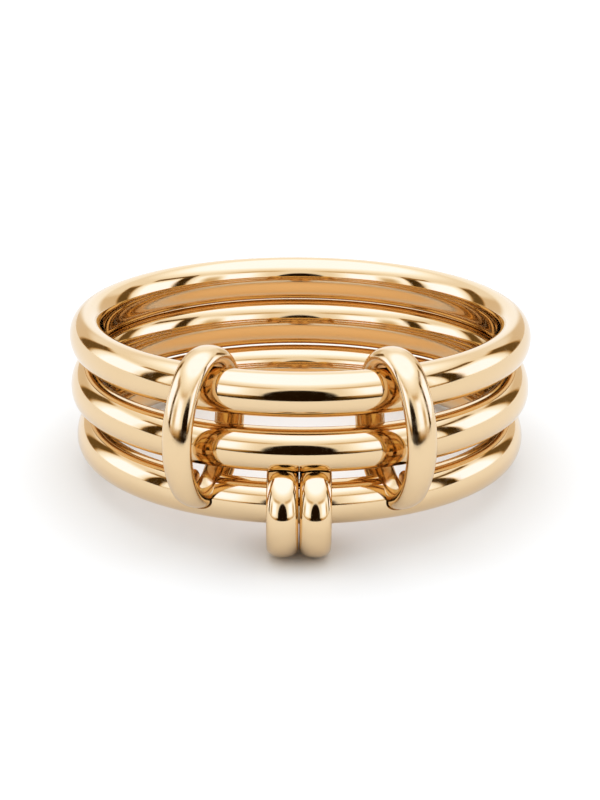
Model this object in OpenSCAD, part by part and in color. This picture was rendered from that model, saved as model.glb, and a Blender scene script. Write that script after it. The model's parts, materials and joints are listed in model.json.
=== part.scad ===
// Finger ring of three parallel bands joined by connector links.
// The ring stands as it rests on a level surface: on its two small links in
// front and on the back of the bottom band, so it leans back a few degrees.
// Front is -Y, up is +Z, and the origin is below the middle of its footprint.

/* [Bands] */
// Inside diameter of the top and middle bands
inside_d = 18.56; // [18:0.02:20]
// Thickness of a band's wire, measured outwards from the finger
band_w = 1.64; // [1.56:0.02:1.7]
// Height of a band's wire, along the finger
band_h = 1.98; // [1.9:0.02:2.02]
// Height from the middle of one band to the middle of the next
band_pitch = 2.48; // [2.42:0.02:2.54]
// How much smaller the bottom band is, in radius
bottom_step = 0.22; // [0.16:0.02:0.28]

/* [Large links] */
// Height of a large link, to the middle of its wire
large_h = 6.44; // [6.4:0.02:6.6]
// Depth of a large link from front to back, to the middle of its wire
large_d = 4.4; // [4.32:0.02:4.6]
// Thickness of a large link's wire, in the plane of the link
large_t = 0.84; // [0.7:0.02:0.86]
// Width of a large link's wire, across the plane of the link
large_w = 1.4; // [1.1:0.02:1.46]
// Angle from the front of the ring to the middle of a large link
large_side = 23.8; // [22:0.2:30]
// Angle of a large link's plane from straight ahead
large_heading = 28.1; // [26:0.1:32]
// Lean of a large link's top towards the middle of the ring
large_lean = 2.4; // [0:0.1:3]
// Distance from the middle of a band's wire out to the middle of a large link
large_out = 0.13; // [0.1:0.01:0.2]
// Distance of the middle of a large link below the gap that it spans
large_sag = 0.5; // [0.4:0.01:0.52]

/* [Small links] */
// Diameter of a small link, to the middle of its wire
small_d = 3.6; // [3.6:0.02:3.8]
// Thickness of a small link's wire, in the plane of the link
small_t = 0.8; // [0.7:0.02:0.8]
// Width of a small link's wire, across the plane of the link
small_w = 1.36; // [1.2:0.02:1.38]
// Distance from the middle of one small link to the middle of the other
small_spacing = 1.46; // [1.44:0.01:1.6]
// Distance from the middle of the middle band's wire in to the middle of a small link
small_in = 0.4; // [0.3:0.01:0.45]
// Distance of the middle of a small link below the middle of the bottom band
small_sag = 0.32; // [0.28:0.01:0.34]

/* [Fit] */
// Gap left round a link where it lies in a seat or slot cut in a band
seat_gap = 0.06; // [0.04:0.01:0.08]

/* [Hidden] */
$fn = 96;

gold = "#eecb96";
up = [0, 0, 1];

// The ring is first laid out upright round the middle of the middle band.
band_r = inside_d / 2 + band_w / 2;
bottom_r = band_r - bottom_step;
bottom_z = -band_pitch;

// A large link is an oval of four arcs: one at each end, above and below, and
// one along each side. The arcs meet on lines that slope 3 in 4 from its middle.
arc_spread = (large_h - large_d) / 0.8;
end_r = large_d / 2 - 0.2 * arc_spread;
side_r = end_r + arc_spread;

// Middle of a large link, on the side given by -1 for left and 1 for right, and
// the directions across its plane, to its front and to its top.
large_r = band_r + large_out;
large_z = band_pitch / 2 - large_sag;
function large_middle(side) =
  [side * large_r * sin(large_side), -large_r * cos(large_side), large_z];
function level_across(side) = [cos(large_heading), side * sin(large_heading), 0];
function large_front(side) = [side * sin(large_heading), -cos(large_heading), 0];
function large_top(side) = cos(large_lean) * up - side * sin(large_lean) * level_across(side);
function large_across(side) = cross(large_top(side), large_front(side));

// Middle of a small link, and the direction across its plane.
function small_middle(side) =
  [side * small_spacing / 2, small_in - band_r, bottom_z - small_sag];
small_across = [1, 0, 0];

// Furthest that wire bent round in one plane reaches in a direction: how far its
// middle line reaches, the share of the direction that lies in the plane and the
// share across it, and the wire's half thickness and width.
function wire_reach(line, in_plane, across, half_t, half_w) =
  line + norm([half_t * in_plane, half_w * across]);

// The same for a ring of wire: its middle, the direction across it and its radius.
function ring_reach(direction, middle, across, r, half_t, half_w) =
  let (
    k = direction * across,
    in_plane = sqrt(1 - k * k)
  )
  wire_reach(direction * middle + r * in_plane, in_plane, k, half_t, half_w);

function band_reach(direction, r, z) =
  ring_reach(direction, [0, 0, z], up, r, band_w / 2, band_h / 2);
function small_reach(direction) =
  ring_reach(direction, small_middle(1), small_across, small_d / 2, small_t / 2, small_w / 2);
function large_reach(direction) =
  let (
    a = abs(direction * large_front(1)),
    b = abs(direction * large_top(1)),
    in_plane = norm([a, b]),
    past_joint = b > 0.75 * a,
    line = past_joint ? 0.6 * arc_spread * b + end_r * in_plane
      : side_r * in_plane - 0.8 * arc_spread * a
  )
  wire_reach(
    direction * large_middle(1) + line, in_plane, direction * large_across(1),
    large_t / 2, large_w / 2
  );

// Directions in the upright ring that become down, front and back once it
// leans back by an angle.
function down(lean) = [0, sin(lean), -cos(lean)];
function front(lean) = [0, -cos(lean), -sin(lean)];
function back(lean) = -front(lean);

// The lean at which the small links and the back of the bottom band reach
// equally low, found by halving the range that holds it.
steepest_lean = 15;
lean_steps = 24;
function rest_lean(low, high, steps) =
  let (
    mid = (low + high) / 2,
    links_lower = small_reach(down(mid)) > band_reach(down(mid), bottom_r, bottom_z)
  )
  steps == 0 ? mid
  : links_lower ? rest_lean(mid, high, steps - 1)
  : rest_lean(low, mid, steps - 1);
lean = rest_lean(0, steepest_lean, lean_steps);

rest_height = small_reach(down(lean));
front_reach = max(
  large_reach(front(lean)), small_reach(front(lean)),
  band_reach(front(lean), band_r, band_pitch), band_reach(front(lean), bottom_r, bottom_z)
);
back_reach = max(
  band_reach(back(lean), band_r, band_pitch), band_reach(back(lean), bottom_r, bottom_z)
);

// Sets what was laid out upright down as the ring rests.
module at_rest() {
  translate([0, (front_reach - back_reach) / 2, rest_height])
    rotate([-lean, 0, 0])
      children();
}

// A closed ring of oval wire round +Z: radius to the middle of the wire, and
// the wire's size in the plane of the ring and across it. The wire's outline
// starts at an angle, where the exact solid gets a seam that no cut may cross.
module wire_ring(r, in_plane, across, start = 0) {
  rotate_extrude()
    translate([r, 0])
      scale([in_plane / 2, across / 2])
        rotate(start)
          circle(r = 1);
}

module band(r, z, start = 0) {
  translate([0, 0, z]) wire_ring(r, band_w, band_h, start);
}

// A wedge, or the half plane less that wedge, that takes one arc out of a ring.
// Its sides slope 3 in 4 from the link's depth.
module arc_room(corners) {
  translate([0, 0, -large_h]) linear_extrude(2 * large_h) polygon(corners * large_h);
}

module arc_at_side(t, w) {
  translate([0, -0.8 * arc_spread, 0]) intersection() {
    wire_ring(side_r, t, w);
    arc_room([[0, 0], [1.2, 1.6], [-1.2, 1.6]]);
  }
}

module arc_at_end(t, w) {
  translate([0.6 * arc_spread, 0, 0]) intersection() {
    wire_ring(end_r, t, w);
    arc_room([[0, 0], [1.2, -1.6], [3.2, -1.6], [3.2, 1.6], [1.2, 1.6]]);
  }
}

// A large link lying flat, its height along X and its depth along Y.
module flat_oval(t, w) {
  for (turn = [0, 180]) rotate([0, 0, turn]) {
    arc_at_side(t, w);
    arc_at_end(t, w);
  }
}

// Puts what lies flat round a large link's middle where that link is.
module at_large_link(side) {
  translate(large_middle(side))
    rotate([0, 0, side * large_heading])
      rotate([0, 90 - side * large_lean, 0])
        children();
}

module large_link(side) {
  at_large_link(side) flat_oval(large_t, large_w);
}

// The slot for a large link where its lower end crosses the bottom band: round
// below, and open above as far as the band reaches.
module large_link_slot(side) {
  at_large_link(side)
    translate([0.6 * arc_spread, 0, 0])
      cylinder(h = large_w + 2 * seat_gap, r = end_r + large_t / 2 + seat_gap, center = true);
}

// A small link, or the room for one.
module small_link(side, gap = 0) {
  translate(small_middle(side))
    rotate([0, 90, 0])
      wire_ring(small_d / 2, small_t + 2 * gap, small_w + 2 * gap);
}

module top_band() {
  color(gold) at_rest() band(band_r, band_pitch);
}

// The small links are let into the underside of this band.
module middle_band() {
  color(gold) at_rest() difference() {
    band(band_r, 0);
    for (side = [-1, 1]) small_link(side, seat_gap);
  }
}

// The large links cross this band in slots cut from above, so its wire's outline
// starts underneath.
module bottom_band() {
  color(gold) at_rest() difference() {
    band(bottom_r, bottom_z, -90);
    for (side = [-1, 1]) large_link_slot(side);
  }
}

module left_large_link() { color(gold) at_rest() large_link(-1); }
module right_large_link() { color(gold) at_rest() large_link(1); }
module left_small_link() { color(gold) at_rest() small_link(-1); }
module right_small_link() { color(gold) at_rest() small_link(1); }

top_band();
middle_band();
bottom_band();
left_large_link();
right_large_link();
left_small_link();
right_small_link();
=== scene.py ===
"""Dresses a packed finger ring: three polished gold bands and the links that join them.

The ring rests on a pale table in a soft studio, seen from a little above its front.
Front is -Y and up is +Z, as in the frame, and lengths are in metres.
"""

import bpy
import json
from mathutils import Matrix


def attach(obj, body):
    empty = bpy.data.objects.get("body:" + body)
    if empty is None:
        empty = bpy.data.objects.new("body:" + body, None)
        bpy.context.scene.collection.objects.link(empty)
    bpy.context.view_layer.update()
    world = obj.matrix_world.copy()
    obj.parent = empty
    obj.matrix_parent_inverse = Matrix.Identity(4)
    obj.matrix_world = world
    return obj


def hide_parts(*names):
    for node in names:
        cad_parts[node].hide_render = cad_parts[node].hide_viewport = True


bl_info = {
    "name": "Stacked band ring",
    "version": (1, 0, 0),
    "blender": (4, 5, 0),
    "location": "3D View > Sidebar > Ring",
    "description": "Polished gold bands and connector links on a packed ring, in a soft studio",
    "category": "Add Mesh",
}

import json
import math
from collections import namedtuple

import bmesh
import bpy
from bpy.props import FloatProperty, FloatVectorProperty, IntProperty, PointerProperty
from mathutils import Matrix, Vector

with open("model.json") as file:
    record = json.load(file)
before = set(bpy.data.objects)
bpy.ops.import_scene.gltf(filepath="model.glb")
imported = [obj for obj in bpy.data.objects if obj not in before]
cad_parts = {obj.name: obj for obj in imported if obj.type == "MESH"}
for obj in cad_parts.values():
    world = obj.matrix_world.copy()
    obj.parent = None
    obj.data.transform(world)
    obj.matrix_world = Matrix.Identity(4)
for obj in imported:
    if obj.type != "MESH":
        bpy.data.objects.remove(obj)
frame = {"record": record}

MM = 0.001
FULL_TURN = 2 * math.pi
QUARTER_TURN = math.pi / 2
UP = Vector((0, 0, 1))
BODY = "root"

# The two sides of the ring, by the sign of X
SIDES = ((-1, "left"), (1, "right"))

# Size of the picture that the camera is aimed for
PICTURE_WIDTH = 600
PICTURE_HEIGHT = 800
# Longer side of Blender's own film, in its own unit of millimetres
FILM = 36
# How near and how far the camera sees
NEAREST_SEEN = 10 * MM
FURTHEST_SEEN = 4000 * MM


# Kinds of property

def linear(hex_colour):
    """The linear colour of an sRGB hex value such as #F6DAB1."""
    channels = [int(hex_colour[i:i + 2], 16) / 255 for i in (1, 3, 5)]
    return tuple(c / 12.92 if c <= 0.04045 else ((c + 0.055) / 1.055) ** 2.4 for c in channels)


def length(name, description, millimetres):
    """A length property with its default in millimetres."""
    return FloatProperty(
        name=name, description=description, default=millimetres * MM,
        min=0, precision=5, unit="LENGTH",
    )


def angle(name, description, degrees):
    """An angle property with its default in degrees."""
    return FloatProperty(
        name=name, description=description, default=math.radians(degrees),
        precision=2, unit="ROTATION",
    )


def colour(name, description, hex_colour):
    """A colour property with its default as an sRGB hex value."""
    return FloatVectorProperty(
        name=name, description=description, default=linear(hex_colour),
        subtype="COLOR", min=0, max=1,
    )


def share(name, description, value):
    """A property from 0 to 1."""
    return FloatProperty(
        name=name, description=description, default=value, min=0, max=1, subtype="FACTOR"
    )


def number(name, description, value):
    """A property that is a plain number, 0 or more."""
    return FloatProperty(name=name, description=description, default=value, min=0)


def faces(name, description, count):
    """A property that is a number of faces."""
    return IntProperty(name=name, description=description, default=count, min=8)


# Sizes and colours that a user would change

class BandSizes(bpy.types.PropertyGroup):
    """Sizes of the three bands."""

    wire_thickness: length("Wire thickness", "Thickness of a band's wire, outwards from the finger", 1.64)
    wire_height: length("Wire height", "Height of a band's wire, along the finger", 1.98)
    pitch: length("Pitch", "Height from the middle of one band to the middle of the next", 2.48)
    bottom_step: length("Bottom step", "How much smaller the bottom band is, in radius", 0.22)
    back_gap: length("Back gap", "Gap between two bands at the back, where no daylight shows", 0.04)
    close_from: angle("Close from", "Angle from the front at which the gaps begin to close", 58)
    closed_from: angle("Closed from", "Angle from the front at which the gaps are closed", 104)
    seat_gap: length("Seat gap", "Gap left round a link in a seat or slot cut in a band", 0.06)
    sides: faces("Wire sides", "Faces round a band's wire", 80)
    steps: faces("Band steps", "Faces along a band", 400)


class LargeLinkSizes(bpy.types.PropertyGroup):
    """Sizes and places of the two large links."""

    height: length("Height", "Height of a large link, to the middle of its wire", 6.44)
    depth: length("Depth", "Depth of a large link from front to back, to the middle of its wire", 4.4)
    wire_thickness: length("Wire thickness", "Thickness of its wire, in the plane of the link", 0.84)
    wire_width: length("Wire width", "Width of its wire, across the plane of the link", 1.4)
    side: angle("Side", "Angle from the front of the ring to the middle of a large link", 23.8)
    heading: angle("Heading", "Angle of its plane from straight ahead", 28.1)
    lean: angle("Lean", "Lean of its top towards the middle of the ring", 2.4)
    out: length("Out", "From the middle of a band's wire out to the middle of the link", 0.13)
    sag: length("Sag", "Distance of its middle below the gap that it spans", 0.5)
    sides: faces("Wire sides", "Faces round a large link's wire", 72)
    steps: faces("Link steps", "Faces along a large link", 240)


class SmallLinkSizes(bpy.types.PropertyGroup):
    """Sizes and places of the two small links.

    Their wire is a hair wider and they stand a hair closer than their solids do, so that
    they seem to touch.
    """

    diameter: length("Diameter", "Diameter of a small link, to the middle of its wire", 3.6)
    wire_thickness: length("Wire thickness", "Thickness of its wire, in the plane of the link", 0.8)
    wire_width: length("Wire width", "Width of its wire, across the plane of the link", 1.385)
    spacing: length("Spacing", "From the middle of one small link to the middle of the other", 1.42)
    inward: length("Inward", "From the middle of the middle band's wire in to its middle", 0.4)
    sag: length("Sag", "Distance of its middle below the middle of the bottom band", 0.32)
    sides: faces("Wire sides", "Faces round a small link's wire", 72)
    steps: faces("Link steps", "Faces along a small link", 240)


class GoldFinish(bpy.types.PropertyGroup):
    """Colours and polish of the gold."""

    gold: colour("Gold", "Colour of 14 ct yellow gold", "#ECD0A6")
    deeper_gold: colour("Deeper gold", "Colour where the alloy is a little redder", "#EBCB9C")
    # A darker, deeper gold for the seats and slots: painted shade where the links lie against the bands
    cut_gold_painted_shade: colour("Cut gold", "Colour of the gold in a cut seat or slot", "#D9AE74")
    band_roughness: share("Band roughness", "Roughness of the bands' mirror polish", 0.075)
    large_link_roughness: share("Large link roughness", "Roughness of their softer polish", 0.13)
    small_link_roughness: share("Small link roughness", "Roughness of their mirror polish", 0.075)


class StudioSettings(bpy.types.PropertyGroup):
    """The floor, the cloth round the camera, the camera and the light."""

    floor: colour("Floor", "Colour of the pale table", "#F6F9FC")
    # Painted shade: the floor inside the ring, darker than the floor round it
    floor_painted_shade_inside: colour("Floor inside", "Colour of the table inside the ring", "#EEEFF1")
    table_reflected: colour("Table reflected", "Colour of the table as the metal shows it", "#EAEDF2")
    # Painted shade and painted warm light: the reflected table inside the ring, darker and gold-tinted
    table_painted_shade_and_light_inside: colour("Table inside", "The same, inside the ring", "#E9CCA4")
    floor_radius: length("Floor radius", "How far the floor reaches", 1500)
    table_front: length("Table front", "From the middle of the ring to the table's front edge", 33)
    cloth: colour("Cloth", "Colour of the cloth hung round the camera", "#1E1204")
    cloth_away: length("Cloth away", "From the middle of the ring to the cloth", 65)
    cloth_middle: length("Cloth middle", "Height of the middle of the cloth", 6)
    cloth_side: length("Cloth side", "How far the cloth reaches to each side", 21.5)
    cloth_up: length("Cloth up", "How far the cloth reaches upwards and downwards", 36)
    light_overhead: number("Light overhead", "Strength of the room's light from overhead", 1.76)
    light_level: number("Level light", "Strength of the room's light from the horizon", 0.25)
    camera_distance: length("Camera distance", "From the camera to the middle of the ring", 87.59)
    camera_height: angle("Camera height", "Angle of the camera above the horizon", 22.11)
    camera_roll: angle("Camera roll", "How far the camera is turned about its own axis", 0.41)
    focal_pixels: number("Focal length", "Focal length in pixels", 1821.2)
    ring_across: number("Ring across", "Pixels from the picture's left to the ring's middle", 299.8)
    ring_down: number("Ring down", "Pixels from the picture's top to the ring's middle", 378.1)


class RingSettings(bpy.types.PropertyGroup):
    """Everything that the ring and its studio are made from."""

    bands: PointerProperty(type=BandSizes)
    large_links: PointerProperty(type=LargeLinkSizes)
    small_links: PointerProperty(type=SmallLinkSizes)
    gold: PointerProperty(type=GoldFinish)
    studio: PointerProperty(type=StudioSettings)


def settings():
    """The ring's settings, which the scene keeps."""
    return bpy.context.scene.ring_settings


# Where things are

def finger_hole():
    """Middle, axis and radius of the finger hole, as the record gives them."""
    mount = next(m for m in frame["record"]["mounts"] if m["name"] == "finger_hole")
    return Vector(mount["pos_m"]), Vector(mount["axis"]), mount["dims"]["r_mm"] * MM


def at_rest():
    """Sets what is laid out upright round the middle band down as the ring rests."""
    middle, axis, _ = finger_hole()
    return Matrix.Translation(middle) @ UP.rotation_difference(axis).to_matrix().to_4x4()


def band_radius():
    """Radius of the top and middle bands, to the middle of their wire."""
    _, _, hole_radius = finger_hole()
    return hole_radius + settings().bands.wire_thickness / 2


def large_link_place(side):
    """Place of a large link, on the side given by -1 for left and 1 for right."""
    link = settings().large_links
    radius = band_radius() + link.out
    middle = Vector((
        side * radius * math.sin(link.side),
        -radius * math.cos(link.side),
        settings().bands.pitch / 2 - link.sag,
    ))
    heading = Matrix.Rotation(side * link.heading, 4, "Z")
    upright = Matrix.Rotation(QUARTER_TURN - side * link.lean, 4, "Y")
    return at_rest() @ Matrix.Translation(middle) @ heading @ upright


def small_link_place(side):
    """Place of a small link, on the side given by -1 for left and 1 for right."""
    link = settings().small_links
    middle = Vector((
        side * link.spacing / 2,
        link.inward - band_radius(),
        -settings().bands.pitch - link.sag,
    ))
    return at_rest() @ Matrix.Translation(middle) @ Matrix.Rotation(QUARTER_TURN, 4, "Y")


# Meshes

# The wire that a piece is bent from: its size in the plane of the piece and across it, and
# the faces round it and along the whole piece
Wire = namedtuple("Wire", "thickness width sides steps")

# One bend of a wire that lies flat: its middle, its radius to the middle of the wire, and
# the angles from +X where it begins and that it turns through
Bend = namedtuple("Bend", "middle radius start sweep")

# Points of a wire that are closer than this become one
MERGE_WITHIN = 0.001 * MM
# Edges that a cut leaves shorter than this are taken out
SLIVER = 0.0005 * MM
# Faces that meet at more than this keep a crisp edge
SHARP_EDGE = math.radians(30)


def add_object(name, bm, material):
    """An object in the scene with the faces of a bmesh."""
    mesh = bpy.data.meshes.new(name)
    bm.to_mesh(mesh)
    bm.free()
    mesh.materials.append(material)
    made = bpy.data.objects.new(name, mesh)
    bpy.context.scene.collection.objects.link(made)
    return made


def loose_piece(name, bm, material):
    """A piece with the faces of a bmesh, smooth and turned outwards."""
    bmesh.ops.recalc_face_normals(bm, faces=bm.faces)
    for face in bm.faces:
        face.smooth = True
    return add_object(name, bm, material)


def bent_wire(name, bends, wire, place, material, reshape=None):
    """A closed loop of oval wire, moved to its place: one round of wire, spun through each bend.

    A reshape takes each point of the flat loop and moves it.
    """
    bm = bmesh.new()
    first = bends[0]
    section = (
        Matrix.Translation(first.middle)
        @ Matrix.Rotation(first.start, 4, "Z")
        @ Matrix.Translation((first.radius, 0, 0))
        @ Matrix.Rotation(QUARTER_TURN, 4, "X")
        @ Matrix.Diagonal((wire.thickness / 2, wire.width / 2, 1, 1))
    )
    bmesh.ops.create_circle(bm, segments=wire.sides, radius=1, matrix=section)
    whole = sum(bend.radius * bend.sweep for bend in bends)
    edge = bm.verts[:] + bm.edges[:]
    for bend in bends:
        edge = bmesh.ops.spin(
            bm, geom=edge, cent=bend.middle, axis=UP, angle=bend.sweep,
            steps=round(wire.steps * bend.radius * bend.sweep / whole),
        )["geom_last"]
    bmesh.ops.remove_doubles(bm, verts=bm.verts, dist=MERGE_WITHIN)
    if reshape:
        for vert in bm.verts:
            reshape(vert.co)
    bmesh.ops.transform(bm, matrix=place, verts=bm.verts)
    return loose_piece(name, bm, material)


def round_bend(radius):
    """The one bend of a round ring."""
    return [Bend(Vector(), radius, 0, FULL_TURN)]


def smoothstep(value, start, end):
    """Rises from 0 at the start to 1 at the end, with level ends."""
    done = min(max((value - start) / (end - start), 0), 1)
    return done ** 2 * (3 - 2 * done)


def band(name, radius, height, closes_above, closes_below, material):
    """A band round the finger, its middle at a height above the middle band.

    Towards the back its wire grows taller on each side where another band lies, until
    the gap between the two is closed.
    """
    sizes = settings().bands
    wire = Wire(sizes.wire_thickness, sizes.wire_height, sizes.sides, sizes.steps)
    place = at_rest() @ Matrix.Translation((0, 0, height))
    tallest = (sizes.pitch - sizes.back_gap) / sizes.wire_height

    def close_gaps(point):
        closes = closes_above if point.z > 0 else closes_below
        if closes:
            from_front = abs(math.atan2(point.x, -point.y))
            closed = smoothstep(from_front, sizes.close_from, sizes.closed_from)
            point.z *= 1 + (tallest - 1) * closed

    return bent_wire(name, round_bend(radius), wire, place, material, close_gaps)


def link_wire(link, gap=0):
    """The wire of a link, or the room for it with a gap all round."""
    return Wire(link.wire_thickness + 2 * gap, link.wire_width + 2 * gap, link.sides, link.steps)


# A large link is an oval of four bends, which meet on lines that slope 3 in 4 from its
# middle. These are the shares of such a line that run along its height and its depth.
JOINT_UP = 0.6
JOINT_ACROSS = 0.8


def large_link_bends():
    """Distance between the middles of neighbouring bends of a large link, and the radius
    of its end bends and of its side bends."""
    link = settings().large_links
    spread = (link.height - link.depth) / (2 * (JOINT_UP + JOINT_ACROSS - 1))
    end = link.depth / 2 - (1 - JOINT_ACROSS) * spread
    return spread, end, end + spread


def large_link(name, side, material):
    """A large link, standing on the side given by -1 for left and 1 for right."""
    spread, end, flank = large_link_bends()
    joint = math.atan2(JOINT_ACROSS, JOINT_UP)
    up = JOINT_UP * spread
    across = JOINT_ACROSS * spread
    bends = [
        Bend(Vector((up, 0, 0)), end, -joint, 2 * joint),
        Bend(Vector((0, -across, 0)), flank, joint, 2 * (QUARTER_TURN - joint)),
        Bend(Vector((-up, 0, 0)), end, math.pi - joint, 2 * joint),
        Bend(Vector((0, across, 0)), flank, math.pi + joint, 2 * (QUARTER_TURN - joint)),
    ]
    return bent_wire(name, bends, link_wire(settings().large_links), large_link_place(side), material)


def large_link_slot(side, material):
    """Cutters for the slot in which a large link's lower end crosses the bottom band.

    One is the room for the link's wire, which rounds the slot's floor. The other takes
    what lies inside that, up to the slot's open top.
    """
    link = settings().large_links
    gap = settings().bands.seat_gap
    spread, end, _ = large_link_bends()
    place = large_link_place(side) @ Matrix.Translation((JOINT_UP * spread, 0, 0))
    floor = bent_wire("slot_floor", round_bend(end), link_wire(link, gap), place, material)
    bm = bmesh.new()
    bmesh.ops.create_cone(
        bm, cap_ends=True, segments=link.steps, radius1=end, radius2=end,
        depth=link.wire_width + gap, matrix=place,
    )
    return [floor, loose_piece("slot_above", bm, material)]


def small_link(name, side, material, gap=0):
    """A small link, or the room for one with a gap all round."""
    link = settings().small_links
    return bent_wire(
        name, round_bend(link.diameter / 2), link_wire(link, gap), small_link_place(side), material
    )


def cut_seats(piece, cutters):
    """Cuts the seats or slots for links in a band. What is cut gets the cutters' material."""
    for cutter in cutters:
        cut = piece.modifiers.new("seat", "BOOLEAN")
        cut.operation = "DIFFERENCE"
        cut.solver = "EXACT"
        cut.material_mode = "TRANSFER"
        cut.object = cutter
    evaluated = piece.evaluated_get(bpy.context.evaluated_depsgraph_get())
    mesh = bpy.data.meshes.new_from_object(evaluated)
    piece.modifiers.clear()
    piece.data = mesh
    for cutter in cutters:
        bpy.data.objects.remove(cutter)
    sharpen_edges(mesh)


def sharpen_edges(mesh):
    """Keeps the shading of a seat's or slot's rim crisp."""
    bm = bmesh.new()
    bm.from_mesh(mesh)
    bmesh.ops.dissolve_degenerate(bm, dist=SLIVER, edges=bm.edges)
    for face in bm.faces:
        face.smooth = True
    for edge in bm.edges:
        edge.smooth = edge.calc_face_angle(0) < SHARP_EDGE
    bm.to_mesh(mesh)
    bm.free()


def dress(piece, node):
    """Makes a piece stand for its CAD node: hangs it on the body and hides the node's part."""
    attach(piece, BODY)
    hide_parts(node)


# Materials

# Sizes of the patterns in the gold: patches where the alloy is redder, the haze of fine
# buffing marks, the waves that the buff leaves, and the marks of the burr
ALLOY_PATCH = 4 * MM
BUFFING_HAZE = 0.35 * MM
BUFF_WAVE = 1.1 * MM
BURR_MARK = 0.08 * MM

# Heights of the waves and of the burr's marks, and how much of the marks is left
BUFF_WAVE_HEIGHT = 0.0003 * MM
BURR_MARK_HEIGHT = 0.001 * MM
BURR_MARK_LEFT = 0.6

# The haze's noise counts between the first two values, and takes the polish from the first
# to the second of these shares of its roughness
HAZE_NOISE = (0.35, 0.7)
HAZE_SHARES = (0.6, 1.6)

# Least and greatest roughness of what the burr cut
CUT_ROUGHNESS = (0.14, 0.26)

# How far from the middle of the ring the painted shade and painted warm light inside the ring reach on
# the table and floor, and the share of the finger hole's radius up to which they are full
PAINTED_SHADE_AND_LIGHT_REACH = 10.5 * MM
PAINTED_SHADE_AND_LIGHT_FULL_SHARE = 0.8

# The cloth fades in between these shares of the way from its edge to its middle
CLOTH_FADE = (0.02, 0.2)


def add_node(tree, kind, inputs=None, **options):
    """Adds a node with its options. Each input is a value, or a socket to link from."""
    node = tree.nodes.new(kind)
    for option, value in options.items():
        setattr(node, option, value)
    for socket, value in (inputs or {}).items():
        if isinstance(value, bpy.types.NodeSocket):
            tree.links.new(value, node.inputs[socket])
        else:
            node.inputs[socket].default_value = value
    return node


def new_material(name):
    """An empty material, and its node tree."""
    material = bpy.data.materials.new(name)
    material.use_nodes = True
    material.node_tree.nodes.clear()
    return material, material.node_tree


def mirror_polished_gold(name, roughness):
    """14 ct yellow gold wire, drawn, closed and mirror polished on a buffing wheel.

    The polish gives the eye sharp reflections that swim a little where the buff
    has rounded the metal, under a faint haze that comes and goes from place to place.
    """
    gold = settings().gold
    material, tree = new_material(name)
    place = add_node(tree, "ShaderNodeTexCoord").outputs["Object"]

    # The alloy is a little redder in soft patches a few millimetres wide.
    patches = add_node(
        tree, "ShaderNodeTexNoise", {"Vector": place, "Scale": 1 / ALLOY_PATCH, "Detail": 2}
    ).outputs["Fac"]
    tint = add_node(
        tree, "ShaderNodeMix",
        {"Factor": patches, "A": (*gold.gold, 1), "B": (*gold.deeper_gold, 1)}, data_type="RGBA",
    ).outputs["Result"]

    # The haze of fine buffing marks, drawn coarser than it is so that it shows.
    haze = add_node(
        tree, "ShaderNodeTexNoise", {"Vector": place, "Scale": 1 / BUFFING_HAZE, "Detail": 5}
    ).outputs["Fac"]
    polish = add_node(
        tree, "ShaderNodeMapRange",
        {
            "Value": haze, "From Min": HAZE_NOISE[0], "From Max": HAZE_NOISE[1],
            "To Min": roughness * HAZE_SHARES[0], "To Max": roughness * HAZE_SHARES[1],
        },
    ).outputs["Result"]

    # The buff leaves the surface wavy by less than a thousandth of a millimetre.
    waves = add_node(
        tree, "ShaderNodeTexNoise", {"Vector": place, "Scale": 1 / BUFF_WAVE, "Detail": 1}
    ).outputs["Fac"]
    swim = add_node(
        tree, "ShaderNodeBump", {"Height": waves, "Strength": 1, "Distance": BUFF_WAVE_HEIGHT}
    ).outputs["Normal"]

    surface = add_node(
        tree, "ShaderNodeBsdfPrincipled",
        {"Base Color": tint, "Metallic": 1, "Roughness": polish, "Normal": swim},
    ).outputs["BSDF"]
    add_node(tree, "ShaderNodeOutputMaterial", {"Surface": surface})
    return material


def burr_cut_gold_with_painted_shade():
    """14 ct yellow gold where a seat or slot was cut with a burr and left as the tool left it.

    The tool's fine marks give the eye a soft, matt look instead of a reflection. The darker, deeper gold
    that the marks mix in is painted shade, in the recess round each link.
    """
    gold = settings().gold
    material, tree = new_material("burr_cut_gold_with_painted_shade")
    place = add_node(tree, "ShaderNodeTexCoord").outputs["Object"]
    marks = add_node(
        tree, "ShaderNodeTexNoise", {"Vector": place, "Scale": 1 / BURR_MARK, "Detail": 3}
    ).outputs["Fac"]
    # The marks mix the gold with a darker gold: painted shade in the seats and slots
    tint = add_node(
        tree, "ShaderNodeMix",
        {"Factor": marks, "A": (*gold.cut_gold_painted_shade, 1), "B": (*gold.gold, 1)}, data_type="RGBA",
    ).outputs["Result"]
    dull = add_node(
        tree, "ShaderNodeMapRange",
        {"Value": marks, "To Min": CUT_ROUGHNESS[0], "To Max": CUT_ROUGHNESS[1]},
    ).outputs["Result"]
    chatter = add_node(
        tree, "ShaderNodeBump",
        {"Height": marks, "Strength": BURR_MARK_LEFT, "Distance": BURR_MARK_HEIGHT},
    ).outputs["Normal"]
    surface = add_node(
        tree, "ShaderNodeBsdfPrincipled",
        {"Base Color": tint, "Metallic": 1, "Roughness": dull, "Normal": chatter},
    ).outputs["BSDF"]
    add_node(tree, "ShaderNodeOutputMaterial", {"Surface": surface})
    return material


def near(tree, middle, reach, fade):
    """A share for each place: 1 about a middle, falling to 0 at a reach along each axis.

    It rises between the two shares of the way inwards that the fade gives.
    """
    place = add_node(tree, "ShaderNodeTexCoord").outputs["Object"]
    from_middle = add_node(
        tree, "ShaderNodeMapping",
        {
            "Vector": place, "Scale": [1 / r for r in reach],
            "Location": [-m / r for m, r in zip(middle, reach)],
        },
    ).outputs["Vector"]
    inwards = add_node(
        tree, "ShaderNodeTexGradient", {"Vector": from_middle}, gradient_type="SPHERICAL"
    ).outputs["Fac"]
    return add_node(
        tree, "ShaderNodeMapRange", {"Value": inwards, "From Min": fade[0], "From Max": fade[1]},
        interpolation_type="SMOOTHSTEP",
    ).outputs["Result"]


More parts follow.
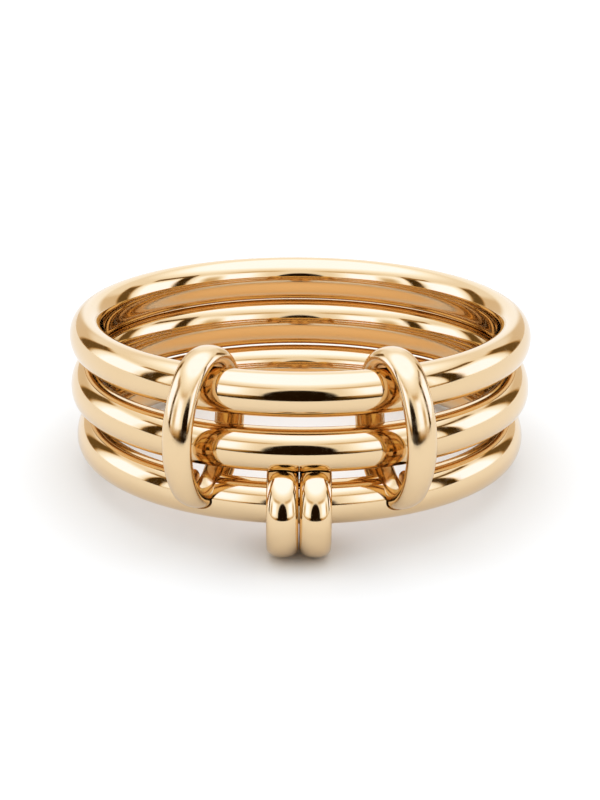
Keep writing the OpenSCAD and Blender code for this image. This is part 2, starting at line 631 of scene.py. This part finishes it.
def matt_table_paint_with_painted_shade_and_light(name, paint, painted_shade_and_light):
    """Matt white paint, sprayed: an even pale ground with no shine of its own.

    Inside the ring its colour changes to a second one, which is painted shade and painted warm light: it
    stands in for the ring's shadow and the light that the gold throws down.
    """
    material, tree = new_material(name)
    middle, _, hole_radius = finger_hole()
    full = 1 - hole_radius * PAINTED_SHADE_AND_LIGHT_FULL_SHARE / PAINTED_SHADE_AND_LIGHT_REACH
    # Mask of the painted shade and painted warm light inside the ring
    painted_shade_and_light_mask = near(tree, middle, (PAINTED_SHADE_AND_LIGHT_REACH, PAINTED_SHADE_AND_LIGHT_REACH, PAINTED_SHADE_AND_LIGHT_REACH), (0, full))
    tint = add_node(
        tree, "ShaderNodeMix", {"Factor": painted_shade_and_light_mask, "A": (*paint, 1), "B": (*painted_shade_and_light, 1)},
        data_type="RGBA",
    ).outputs["Result"]
    surface = add_node(tree, "ShaderNodeBsdfDiffuse", {"Color": tint}).outputs["BSDF"]
    add_node(tree, "ShaderNodeOutputMaterial", {"Surface": surface})
    return material


def black_flag_cloth(middle, reach):
    """Black cloth round the camera, far out of focus.

    The polished metal shows it as a dark brown patch that fades out to its edges.
    """
    material, tree = new_material("black_flag_cloth")
    clear = add_node(tree, "ShaderNodeBsdfTransparent").outputs["BSDF"]
    black = add_node(
        tree, "ShaderNodeEmission", {"Color": (*settings().studio.cloth, 1), "Strength": 1}
    ).outputs["Emission"]
    solid = near(tree, middle, reach, CLOTH_FADE)
    cloth = add_node(tree, "ShaderNodeMixShader", {0: solid, 1: clear, 2: black})
    add_node(tree, "ShaderNodeOutputMaterial", {"Surface": cloth.outputs["Shader"]})
    return material


# The studio as the metal sees it: azimuth from the front of the ring, to either side,
# and elevation above the horizon, in degrees. Each edge is where an area begins to show
# and where it shows in full, and a later area covers those before it.
Area = namedtuple("Area", "name side inner outer low high tone")

ALL_ROUND = (-1, 0)
TO_THE_BACK = (181, 180)
TO_THE_TOP = (91, 90)
TO_THE_GROUND = (-91, -90)

# Tone of the room where no area shows
ROOM_TONE = 0.93

STUDIO_AREAS = (
    Area("below the horizon", "both", ALL_ROUND, TO_THE_BACK, TO_THE_GROUND, (0.5, -1), 0.04),
    Area("softbox overhead", "both", ALL_ROUND, TO_THE_BACK, (36, 60), TO_THE_TOP, 1.45),
    Area("wall behind", "both", (134, 142), (170, 158), (-1, 1), (24, 16), 0.62),
    Area("window behind", "both", (160, 172), TO_THE_BACK, (-1, 1), (45, 35), 1.12),
    Area("softbox in front", "both", (18, 34), (80, 62), (-12, 10), (37, 25), 1.45),
    Area("top of the front softbox", "both", (4, 20), (62, 34), (29, 33.5), (39, 35), 0.5),
    Area("fold in the front softbox", "both", (46, 55), (68, 59), (-12, 8), (34, 12), 0.5),
    Area("softbox at the side", "both", (78, 90), (126, 108), (-4, 4), (36, 24), 1.5),
    Area("stand at the right", "right", (73, 75.5), (86, 83), (-5, -3), (39, 36), 0.04),
    Area("stand at the left", "left", (70, 72.5), (83, 80), (-5, -3), (38, 35), 0.05),
    Area("frame over the right softbox", "right", (73, 76), (117, 112), (32, 34.5), (40, 37.5), 0.09),
    Area("frame over the left softbox", "left", (70, 73), (97, 91), (29, 31.5), (37, 34.5), 0.2),
    Area("flag behind the side softbox", "both", (120, 126), (141, 136), (-1, 2), (33, 28), 0.1),
)

# Colour of the studio by its tone: dark parts are warm brown and bright ones cool cream.
# The colours are for a strength of STUDIO_STRENGTH.
Tint = namedtuple("Tint", "tone colour")
STUDIO_STRENGTH = 2.42
BRIGHTEST = 1.45
STUDIO_TINTS = (
    Tint(0, "#110901"),
    Tint(0.05, "#2D2009"),
    Tint(0.25, "#775F3A"),
    Tint(0.45, "#8F7D62"),
    Tint(0.75, "#A49E94"),
    Tint(0.95, "#AEAFB0"),
    Tint(1.25, "#BDC7D6"),
    Tint(1.45, "#CAD4FC"),
)

# A photograph washes out the brightest reflections, which the studio's cool lights stand in
# for. What the gold mirrors a second time is not washed out, and takes this much of the light.
SEEN_AGAIN_TINT = "#DDC58A"
# The camera's own view of the room counts as 1, and each reflection adds 1, so this lies
# between the first reflection and the second.
SEEN_AGAIN_FROM = 2.5

# Heights on the sky between which the room's light grows, from 0 at the horizon to 1 overhead
LEVEL_LIGHT_UP_TO = 0.15
OVERHEAD_LIGHT_FROM = 0.95


def studio_colour(tree, axes):
    """Colour of the studio in each direction, for what the metal reflects."""
    forward = add_node(tree, "ShaderNodeMath", {0: axes["Y"], 1: -1}, operation="MULTIPLY")
    around = add_node(
        tree, "ShaderNodeMath", {0: axes["X"], 1: forward.outputs["Value"]}, operation="ARCTAN2"
    )
    right = add_node(
        tree, "ShaderNodeMath", {0: around.outputs["Value"]}, operation="DEGREES"
    ).outputs["Value"]
    left = add_node(tree, "ShaderNodeMath", {0: right, 1: -1}, operation="MULTIPLY").outputs["Value"]
    both = add_node(tree, "ShaderNodeMath", {0: right}, operation="ABSOLUTE").outputs["Value"]
    azimuth = {"right": right, "left": left, "both": both}
    rise = add_node(tree, "ShaderNodeMath", {0: axes["Z"]}, operation="ARCSINE")
    elevation = add_node(
        tree, "ShaderNodeMath", {0: rise.outputs["Value"]}, operation="DEGREES"
    ).outputs["Value"]
    tone = ROOM_TONE
    for area in STUDIO_AREAS:
        seen = 1
        across = azimuth[area.side]
        for value, edge in (
            (across, area.inner), (across, area.outer), (elevation, area.low), (elevation, area.high)
        ):
            unseen, full = edge
            past = add_node(
                tree, "ShaderNodeMapRange",
                {
                    "Value": value, "From Min": min(edge), "From Max": max(edge),
                    "To Min": float(unseen > full), "To Max": float(unseen < full),
                },
                interpolation_type="SMOOTHSTEP",
            )
            seen = add_node(
                tree, "ShaderNodeMath", {0: seen, 1: past.outputs["Result"]}, operation="MULTIPLY"
            ).outputs["Value"]
        tone = add_node(
            tree, "ShaderNodeMix", {"Factor": seen, "A": tone, "B": area.tone}, data_type="FLOAT"
        ).outputs["Result"]
    of_brightest = add_node(tree, "ShaderNodeMath", {0: tone, 1: BRIGHTEST}, operation="DIVIDE")
    ramp = add_node(tree, "ShaderNodeValToRGB", {"Fac": of_brightest.outputs["Value"]})
    stops = ramp.color_ramp.elements
    for index, tint in enumerate(STUDIO_TINTS):
        stop = stops[index] if index < len(stops) else stops.new(1)
        stop.position = tint.tone / BRIGHTEST
        stop.color = (*linear(tint.colour), 1)
    return ramp.outputs["Color"]


def studio_world():
    """A pale room for the eye and the floor, lit mostly from overhead, and the studio's
    lights for the metal."""
    studio = settings().studio
    world = bpy.data.worlds.new("studio")
    world.use_nodes = True
    tree = world.node_tree
    tree.nodes.clear()
    direction = add_node(tree, "ShaderNodeTexCoord").outputs["Generated"]
    axes = add_node(tree, "ShaderNodeSeparateXYZ", {"Vector": direction}).outputs
    strength = add_node(
        tree, "ShaderNodeMapRange",
        {
            "Value": axes["Z"], "From Min": LEVEL_LIGHT_UP_TO, "From Max": OVERHEAD_LIGHT_FROM,
            "To Min": studio.light_level, "To Max": studio.light_overhead,
        },
        interpolation_type="SMOOTHSTEP",
    ).outputs["Result"]
    room = add_node(tree, "ShaderNodeBackground", {"Color": (1, 1, 1, 1), "Strength": strength})
    path = add_node(tree, "ShaderNodeLightPath").outputs
    again = add_node(
        tree, "ShaderNodeMath", {0: path["Ray Depth"], 1: SEEN_AGAIN_FROM}, operation="GREATER_THAN"
    )
    seen = add_node(
        tree, "ShaderNodeMix",
        {
            "Factor": again.outputs["Value"], "A": studio_colour(tree, axes),
            "B": (*linear(SEEN_AGAIN_TINT), 1),
        },
        data_type="RGBA", blend_type="MULTIPLY",
    )
    lights = add_node(
        tree, "ShaderNodeBackground", {"Color": seen.outputs["Result"], "Strength": STUDIO_STRENGTH}
    )
    mixed = add_node(
        tree, "ShaderNodeMixShader",
        {0: path["Is Glossy Ray"], 1: room.outputs["Background"], 2: lights.outputs["Background"]},
    )
    add_node(tree, "ShaderNodeOutputWorld", {"Surface": mixed.outputs["Shader"]})
    bpy.context.scene.world = world


# Stage

# The table that the metal reflects lies this far below the ring, and the floor that the eye
# sees as far again below that
FLOOR_DROP = 0.01 * MM


def stage_sheet(name, size_x, size_y, place, material):
    """A flat sheet of the stage, moved to its place."""
    bm = bmesh.new()
    shape = Matrix.Diagonal((size_x / 2, size_y / 2, 1, 1))
    bmesh.ops.create_grid(bm, x_segments=1, y_segments=1, size=1, matrix=place @ shape)
    sheet = add_object(name, bm, material)
    return sheet


def only_reflected(sheet):
    """Shows a sheet in the metal's reflections and nowhere else."""
    sheet.visible_camera = False
    sheet.visible_diffuse = False
    sheet.visible_transmission = False
    sheet.visible_volume_scatter = False
    sheet.visible_shadow = False


def pale_floor():
    """The floor that the eye sees, and the table that the metal reflects as far as its front edge."""
    studio = settings().studio
    reach = 2 * studio.floor_radius
    floor = stage_sheet(
        "floor", reach, reach, Matrix.Translation((0, 0, -2 * FLOOR_DROP)),
        matt_table_paint_with_painted_shade_and_light("matt_floor_paint_with_painted_shade", studio.floor, studio.floor_painted_shade_inside),
    )
    floor.visible_glossy = False
    depth = studio.table_front + studio.floor_radius
    middle = depth / 2 - studio.table_front
    table = stage_sheet(
        "table_top", reach, depth, Matrix.Translation((0, middle, -FLOOR_DROP)),
        matt_table_paint_with_painted_shade_and_light("matt_table_paint_with_painted_shade_and_light", studio.table_reflected, studio.table_painted_shade_and_light_inside),
    )
    only_reflected(table)


def camera_cloth():
    """The dark cloth hung round the camera, which every band mirrors at its middle."""
    studio = settings().studio
    middle = Vector((0, -studio.cloth_away, studio.cloth_middle))
    place = Matrix.Translation(middle) @ Matrix.Rotation(QUARTER_TURN, 4, "X")
    # The cloth is flat, so it fades along its width and height alone.
    reach = (studio.cloth_side, 1, studio.cloth_up)
    cloth = stage_sheet(
        "camera_cloth", 2 * studio.cloth_side, 2 * studio.cloth_up, place,
        black_flag_cloth(middle, reach),
    )
    only_reflected(cloth)


def add_camera():
    """A camera at the picture's angle, turned so that the ring falls where the picture has it."""
    studio = settings().studio
    target, _, _ = finger_hole()
    away = Vector((0, -math.cos(studio.camera_height), math.sin(studio.camera_height)))
    data = bpy.data.cameras.new("camera")
    data.sensor_width = FILM
    data.lens = studio.focal_pixels * FILM / PICTURE_HEIGHT
    data.clip_start = NEAREST_SEEN
    data.clip_end = FURTHEST_SEEN
    camera = bpy.data.objects.new("camera", data)
    bpy.context.scene.collection.objects.link(camera)
    aim = (-away).to_track_quat("-Z", "Y").to_matrix().to_4x4()
    down = math.atan2(PICTURE_HEIGHT / 2 - studio.ring_down, studio.focal_pixels)
    left = math.atan2(PICTURE_WIDTH / 2 - studio.ring_across, studio.focal_pixels)
    camera.matrix_world = (
        Matrix.Translation(target + away * studio.camera_distance)
        @ aim
        @ Matrix.Rotation(-down, 4, "X")
        @ Matrix.Rotation(-left, 4, "Y")
        @ Matrix.Rotation(studio.camera_roll, 4, "Z")
    )
    bpy.context.scene.camera = camera


# Operators

class RING_OT_bands(bpy.types.Operator):
    """Makes the three bands, with the seats and slots that the links lie in"""

    bl_idname = "ring.bands"
    bl_label = "Bands"

    def execute(self, context):
        sizes = settings().bands
        polish = mirror_polished_gold("mirror_polished_band_gold", settings().gold.band_roughness)
        cut = burr_cut_gold_with_painted_shade()
        top = band("top_band_polished", band_radius(), sizes.pitch, False, True, polish)
        dress(top, "top_band")
        middle = band("middle_band_polished", band_radius(), 0, True, True, polish)
        cut_seats(middle, [small_link("seat", side, cut, sizes.seat_gap) for side, _ in SIDES])
        dress(middle, "middle_band")
        bottom_radius = band_radius() - sizes.bottom_step
        bottom = band("bottom_band_polished", bottom_radius, -sizes.pitch, True, False, polish)
        cut_seats(bottom, [cutter for side, _ in SIDES for cutter in large_link_slot(side, cut)])
        dress(bottom, "bottom_band")
        return {"FINISHED"}


class RING_OT_large_links(bpy.types.Operator):
    """Makes the two large links round the top and middle bands"""

    bl_idname = "ring.large_links"
    bl_label = "Large links"

    def execute(self, context):
        roughness = settings().gold.large_link_roughness
        polish = mirror_polished_gold("mirror_polished_large_link_gold", roughness)
        for side, word in SIDES:
            link = large_link(f"{word}_large_link_polished", side, polish)
            dress(link, f"{word}_large_link")
        return {"FINISHED"}


class RING_OT_small_links(bpy.types.Operator):
    """Makes the two small links side by side round the bottom band"""

    bl_idname = "ring.small_links"
    bl_label = "Small links"

    def execute(self, context):
        roughness = settings().gold.small_link_roughness
        polish = mirror_polished_gold("mirror_polished_small_link_gold", roughness)
        for side, word in SIDES:
            link = small_link(f"{word}_small_link_polished", side, polish)
            dress(link, f"{word}_small_link")
        return {"FINISHED"}


class RING_OT_stage(bpy.types.Operator):
    """Sets up the floor, the cloth round the camera, the studio's light and the camera"""

    bl_idname = "ring.stage"
    bl_label = "Stage"

    def execute(self, context):
        pale_floor()
        camera_cloth()
        studio_world()
        add_camera()
        context.scene.view_settings.view_transform = "Standard"
        return {"FINISHED"}


class RING_PT_panel(bpy.types.Panel):
    """Lists what makes the ring and its stage"""

    bl_idname = "RING_PT_panel"
    bl_label = "Stacked band ring"
    bl_space_type = "VIEW_3D"
    bl_region_type = "UI"
    bl_category = "Ring"

    def draw(self, context):
        for operator in OPERATORS:
            self.layout.operator(operator.bl_idname)


GROUPS = (BandSizes, LargeLinkSizes, SmallLinkSizes, GoldFinish, StudioSettings, RingSettings)
OPERATORS = (RING_OT_bands, RING_OT_large_links, RING_OT_small_links, RING_OT_stage)
CLASSES = (*GROUPS, *OPERATORS, RING_PT_panel)


def register():
    for each in CLASSES:
        bpy.utils.register_class(each)
    bpy.types.Scene.ring_settings = PointerProperty(type=RingSettings)


def unregister():
    del bpy.types.Scene.ring_settings
    for each in reversed(CLASSES):
        bpy.utils.unregister_class(each)


def main():
    register()
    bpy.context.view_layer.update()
    bpy.ops.ring.bands()
    bpy.ops.ring.large_links()
    bpy.ops.ring.small_links()
    bpy.ops.ring.stage()


if __name__ == "__main__":
    main()
